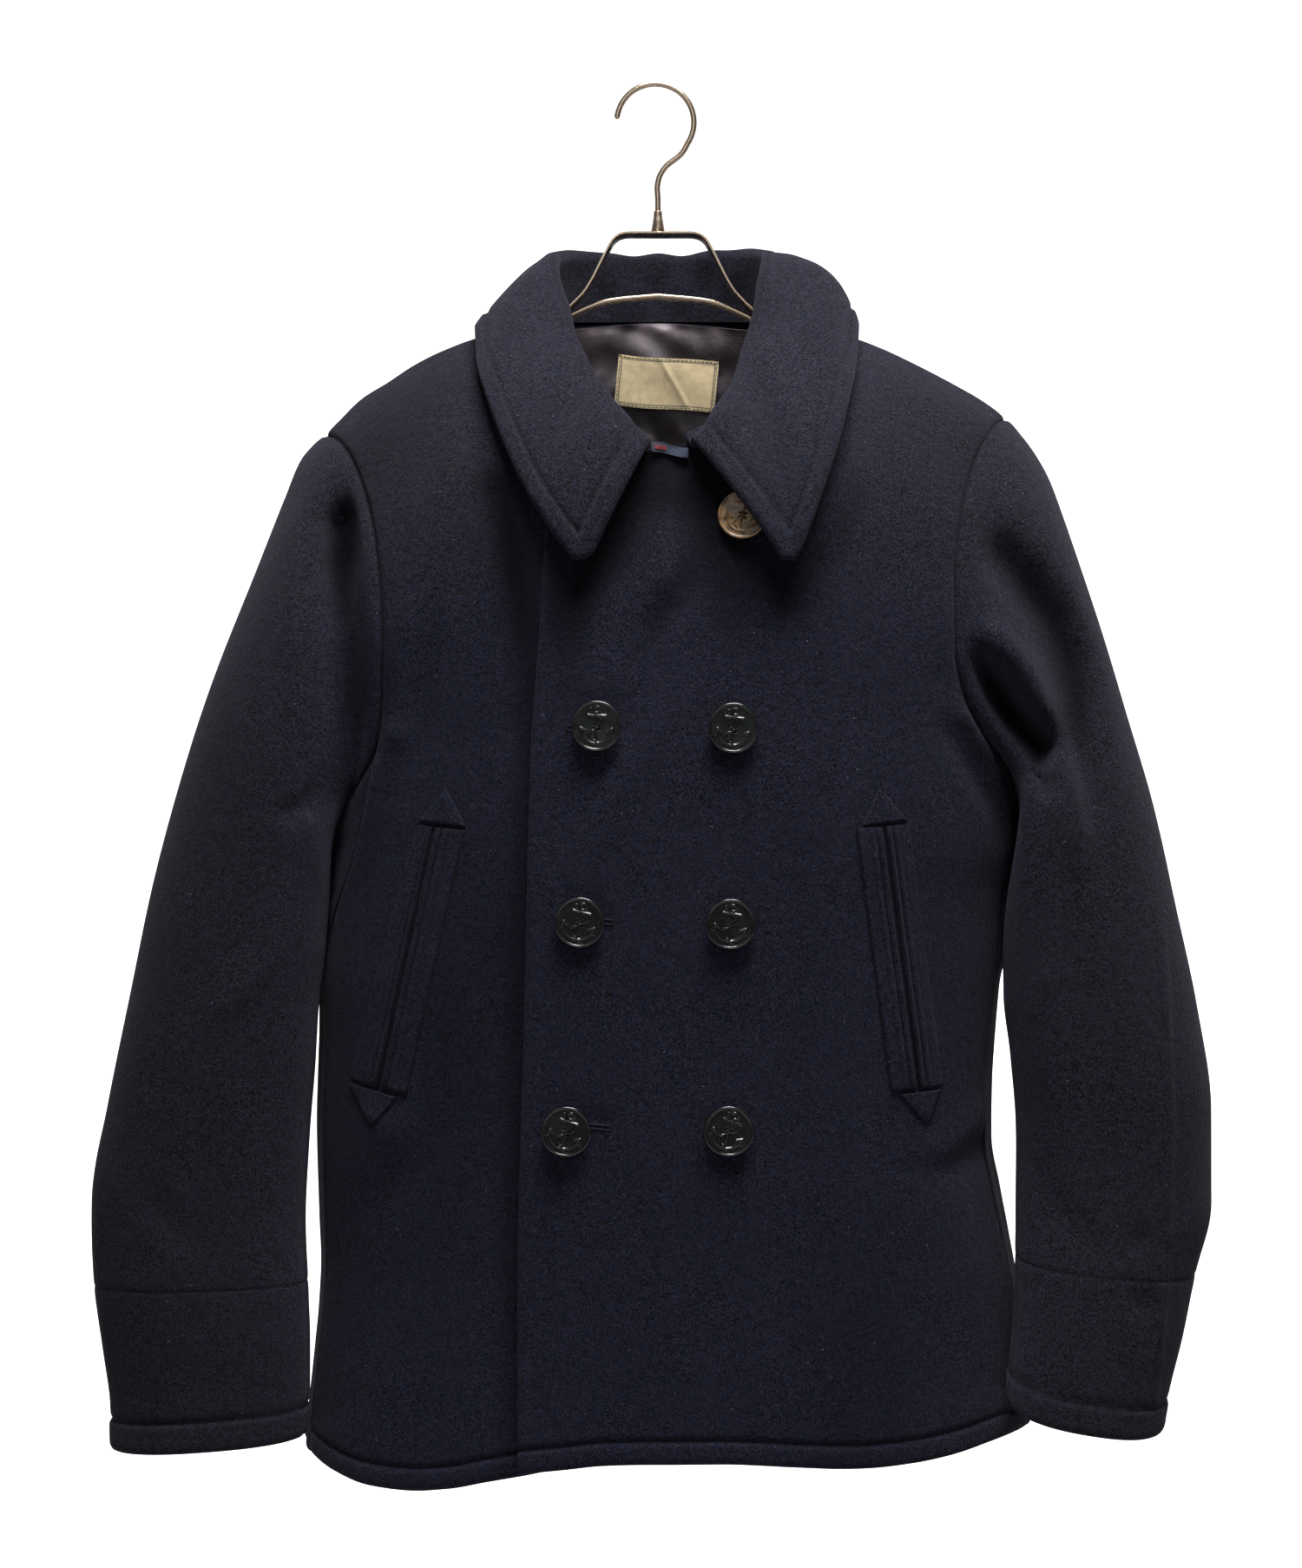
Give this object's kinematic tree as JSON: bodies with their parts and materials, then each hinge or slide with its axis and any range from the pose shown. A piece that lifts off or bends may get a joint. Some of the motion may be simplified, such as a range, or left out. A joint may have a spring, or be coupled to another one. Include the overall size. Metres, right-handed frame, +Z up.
{
  "type": "pea coat on a metal hanger",
  "caption": "Double-breasted hip-length wool pea coat with turned-down collar, slanted welt pockets and round buttons, hanging closed on a metal hanger with a wire hook.",
  "frame": {"origin": "inside top of the hanger's hook, where it rests on its rod or peg", "axes": "+Z up, -Y towards the coat's front, +X towards the wearer's left"},
  "size_m": [0.6869, 0.195, 0.8622],
  "materials": {
    "navy_wool": "heavy fulled wool, matt, with a short fuzz",
    "satin_lining": "satin with a soft sheen",
    "label_cloth": "plain woven label, bare",
    "button_black": "polished, moulded",
    "button_brown": "polished, moulded",
    "hanger_metal": "polished plating"
  },
  "bodies": {
    "root": {"back": "navy_wool", "back_lining": "satin_lining", "button_chest_left": "button_black", "button_chest_right": "button_black", "button_collar_left": "button_brown", "button_hip_left": "button_black", "button_hip_right": "button_black", "button_waist_left": "button_black", "button_waist_right": "button_black", "collar": "navy_wool", "cuff_left": "navy_wool", "cuff_right": "navy_wool", "front_over": "navy_wool", "front_under": "navy_wool", "hanger_bar": "hanger_metal", "hanger_ferrule": "hanger_metal", "hanger_hook": "hanger_metal", "hanger_neck": "hanger_metal", "neck_label": "label_cloth", "pocket_left_arrow_foot": "navy_wool", "pocket_left_arrow_top": "navy_wool", "pocket_left_welt_inner": "navy_wool", "pocket_left_welt_outer": "navy_wool", "pocket_right_arrow_foot": "navy_wool", "pocket_right_arrow_top": "navy_wool", "pocket_right_welt_inner": "navy_wool", "pocket_right_welt_outer": "navy_wool", "side_left": "navy_wool", "side_right": "navy_wool", "sleeve_left": "navy_wool", "sleeve_right": "navy_wool"}
  },
  "joints": []
}
